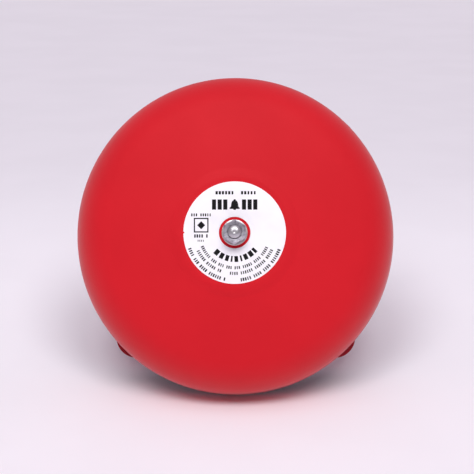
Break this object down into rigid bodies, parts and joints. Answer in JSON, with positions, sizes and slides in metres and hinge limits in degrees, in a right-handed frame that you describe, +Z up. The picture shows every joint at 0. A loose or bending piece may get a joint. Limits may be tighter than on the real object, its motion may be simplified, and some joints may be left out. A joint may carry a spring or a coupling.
{
  "type": "fire alarm bell",
  "caption": "Wall-mounted motor fire alarm bell: red pressed-steel gong over a square plate, with a sprung plunger striker kicked by a motor's crank roller.",
  "frame": {"origin": "centre of the mounting plate's back face, which lies on the wall", "axes": "+Z up the wall, -Y out of the wall along the bell's axis, +X to the right of someone facing the bell"},
  "size_m": [0.15, 0.0666, 0.15],
  "materials": {
    "gong_paint": "smooth satin red paint",
    "plate_paint": "satin red paint",
    "label_face": "white printed film",
    "turned_steel": "turned, zinc plated",
    "nut_zinc": "zinc plated, chamfered",
    "washer_zinc": "zinc plated, pressed",
    "screw_zinc": "zinc plated",
    "screw_black": "black oxide",
    "bracket_zinc": "zinc plated sheet",
    "motor_zinc": "drawn, nickel plated",
    "spring_steel": "drawn spring wire",
    "core_steel": "laminated",
    "striker_brass": "turned",
    "contact_brass": "stamped",
    "sintered_bronze": "sintered, oiled",
    "winding_copper": "enamelled copper",
    "housing_plastic": "moulded, fine grain",
    "block_plastic": "moulded",
    "white_nylon": "turned nylon",
    "black_rubber": "moulded",
    "fibre": "vulcanised fibre",
    "ferrite": "sintered ferrite",
    "carbon": "pressed carbon",
    "board_green": "lacquered",
    "capacitor_yellow": "moulded box",
    "component_black": "moulded",
    "varistor_blue": "epoxy dipped",
    "lead_red": "insulated wire",
    "lead_black": "insulated wire"
  },
  "bodies": {
    "base": {"mounting_plate": "plate_paint", "cable_grommet": "black_rubber", "gong_post": "turned_steel", "housing_base": "housing_plastic", "base_screws": "screw_zinc", "housing_cover": "housing_plastic", "cover_gasket": "black_rubber", "cover_screws": "screw_zinc", "gong": "gong_paint", "gong_label": "label_face", "cushion_washer": "fibre", "locating_pin": "turned_steel", "gong_washer": "washer_zinc", "gong_lock_washer": "washer_zinc", "gong_nut": "nut_zinc", "motor_can": "motor_zinc", "motor_end_cap": "white_nylon", "motor_bushings": "sintered_bronze", "motor_magnets": "ferrite", "motor_terminals": "contact_brass", "brush_leaves": "contact_brass", "brush_blocks": "carbon", "motor_bracket": "bracket_zinc", "bracket_screws": "screw_zinc", "motor_screws": "screw_zinc", "striker_bracket": "bracket_zinc", "guide_bush_upper": "white_nylon", "guide_bush_lower": "white_nylon", "circuit_board": "board_green", "board_spacers": "white_nylon", "board_screws": "screw_zinc", "suppressor_capacitor": "capacitor_yellow", "polarity_diode": "component_black", "varistor": "varistor_blue", "terminal_block": "block_plastic", "terminal_clamps": "bracket_zinc", "terminal_screws": "screw_zinc", "block_screws": "screw_zinc", "motor_leads": "lead_red", "supply_leads": "lead_black"},
    "rotor": {"motor_shaft": "turned_steel", "armature_core": "core_steel", "armature_windings": "winding_copper", "commutator_hub": "fibre", "commutator": "winding_copper", "eccentric_disc": "turned_steel", "set_screw": "screw_black", "crank_pin": "turned_steel"},
    "roller": {"crank_roller": "white_nylon"},
    "striker": {"striker_rod": "turned_steel", "striker_tail": "white_nylon", "striker_head": "striker_brass", "retaining_ring": "spring_steel", "spring_seat": "washer_zinc", "return_spring": "spring_steel"}
  },
  "joints": [
    {"name": "motor_spin", "type": "hinge", "parent": "base", "child": "rotor", "pos_m": [0, -0.028, -0.017], "axis": [1, 0, 0], "continuous": true},
    {"name": "roller_spin", "type": "hinge", "parent": "rotor", "child": "roller", "pos_m": [0, -0.028, -0.021], "axis": [1, 0, 0], "continuous": true},
    {"name": "striker_slide", "type": "slide", "parent": "base", "child": "striker", "axis": [0, 0, -1], "range_m": [0, 0.0032], "stiffness_N_per_m": 200, "springref_m": -0.003, "deforming": ["return_spring"]}
  ]
}
